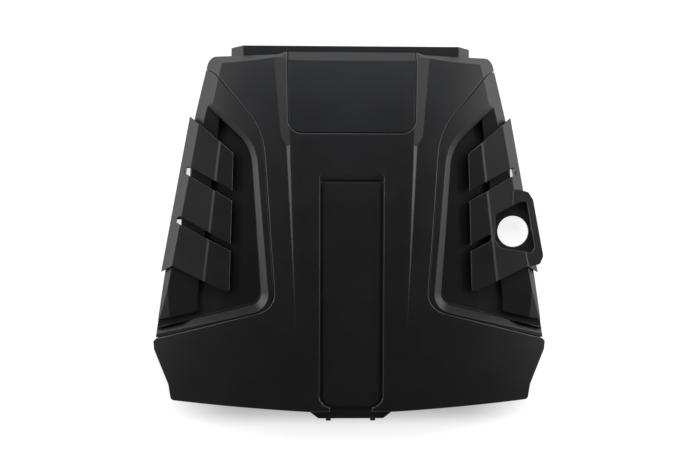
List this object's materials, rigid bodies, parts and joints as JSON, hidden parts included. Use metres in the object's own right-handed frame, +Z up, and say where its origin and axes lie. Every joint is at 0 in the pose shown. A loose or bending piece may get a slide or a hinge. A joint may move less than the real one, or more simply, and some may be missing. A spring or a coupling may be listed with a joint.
{
  "type": "engine cover",
  "caption": "Crowned black plastic cover for a car engine, with a raised middle, inset panels, finned side pockets and a filler hole.",
  "frame": {"origin": "middle of the cover's footprint, on the plane of its lower edge", "axes": "+X to the right across the cover, +Y to the rear, +Z up out of the crowned face"},
  "size_m": [0.624, 0.59, 0.0828],
  "materials": {
    "shell_plastic": "fine grained matte black",
    "panel_plastic": "fine grained matte black",
    "side_plastic": "fine grained matte black",
    "louvre_plastic": "fine grained satin black",
    "foam": "open-cell foam with a felt skin",
    "rubber": "soft black rubber"
  },
  "bodies": {
    "root": {"main_shell": "shell_plastic", "badge_panel": "panel_plastic", "centre_panel": "panel_plastic", "left_side_panel": "side_plastic", "right_side_panel": "side_plastic", "left_louvre": "louvre_plastic", "right_louvre": "louvre_plastic", "acoustic_pad": "foam", "grommet_front_left": "rubber", "grommet_front_right": "rubber", "grommet_rear_left": "rubber", "grommet_rear_right": "rubber"}
  },
  "joints": []
}
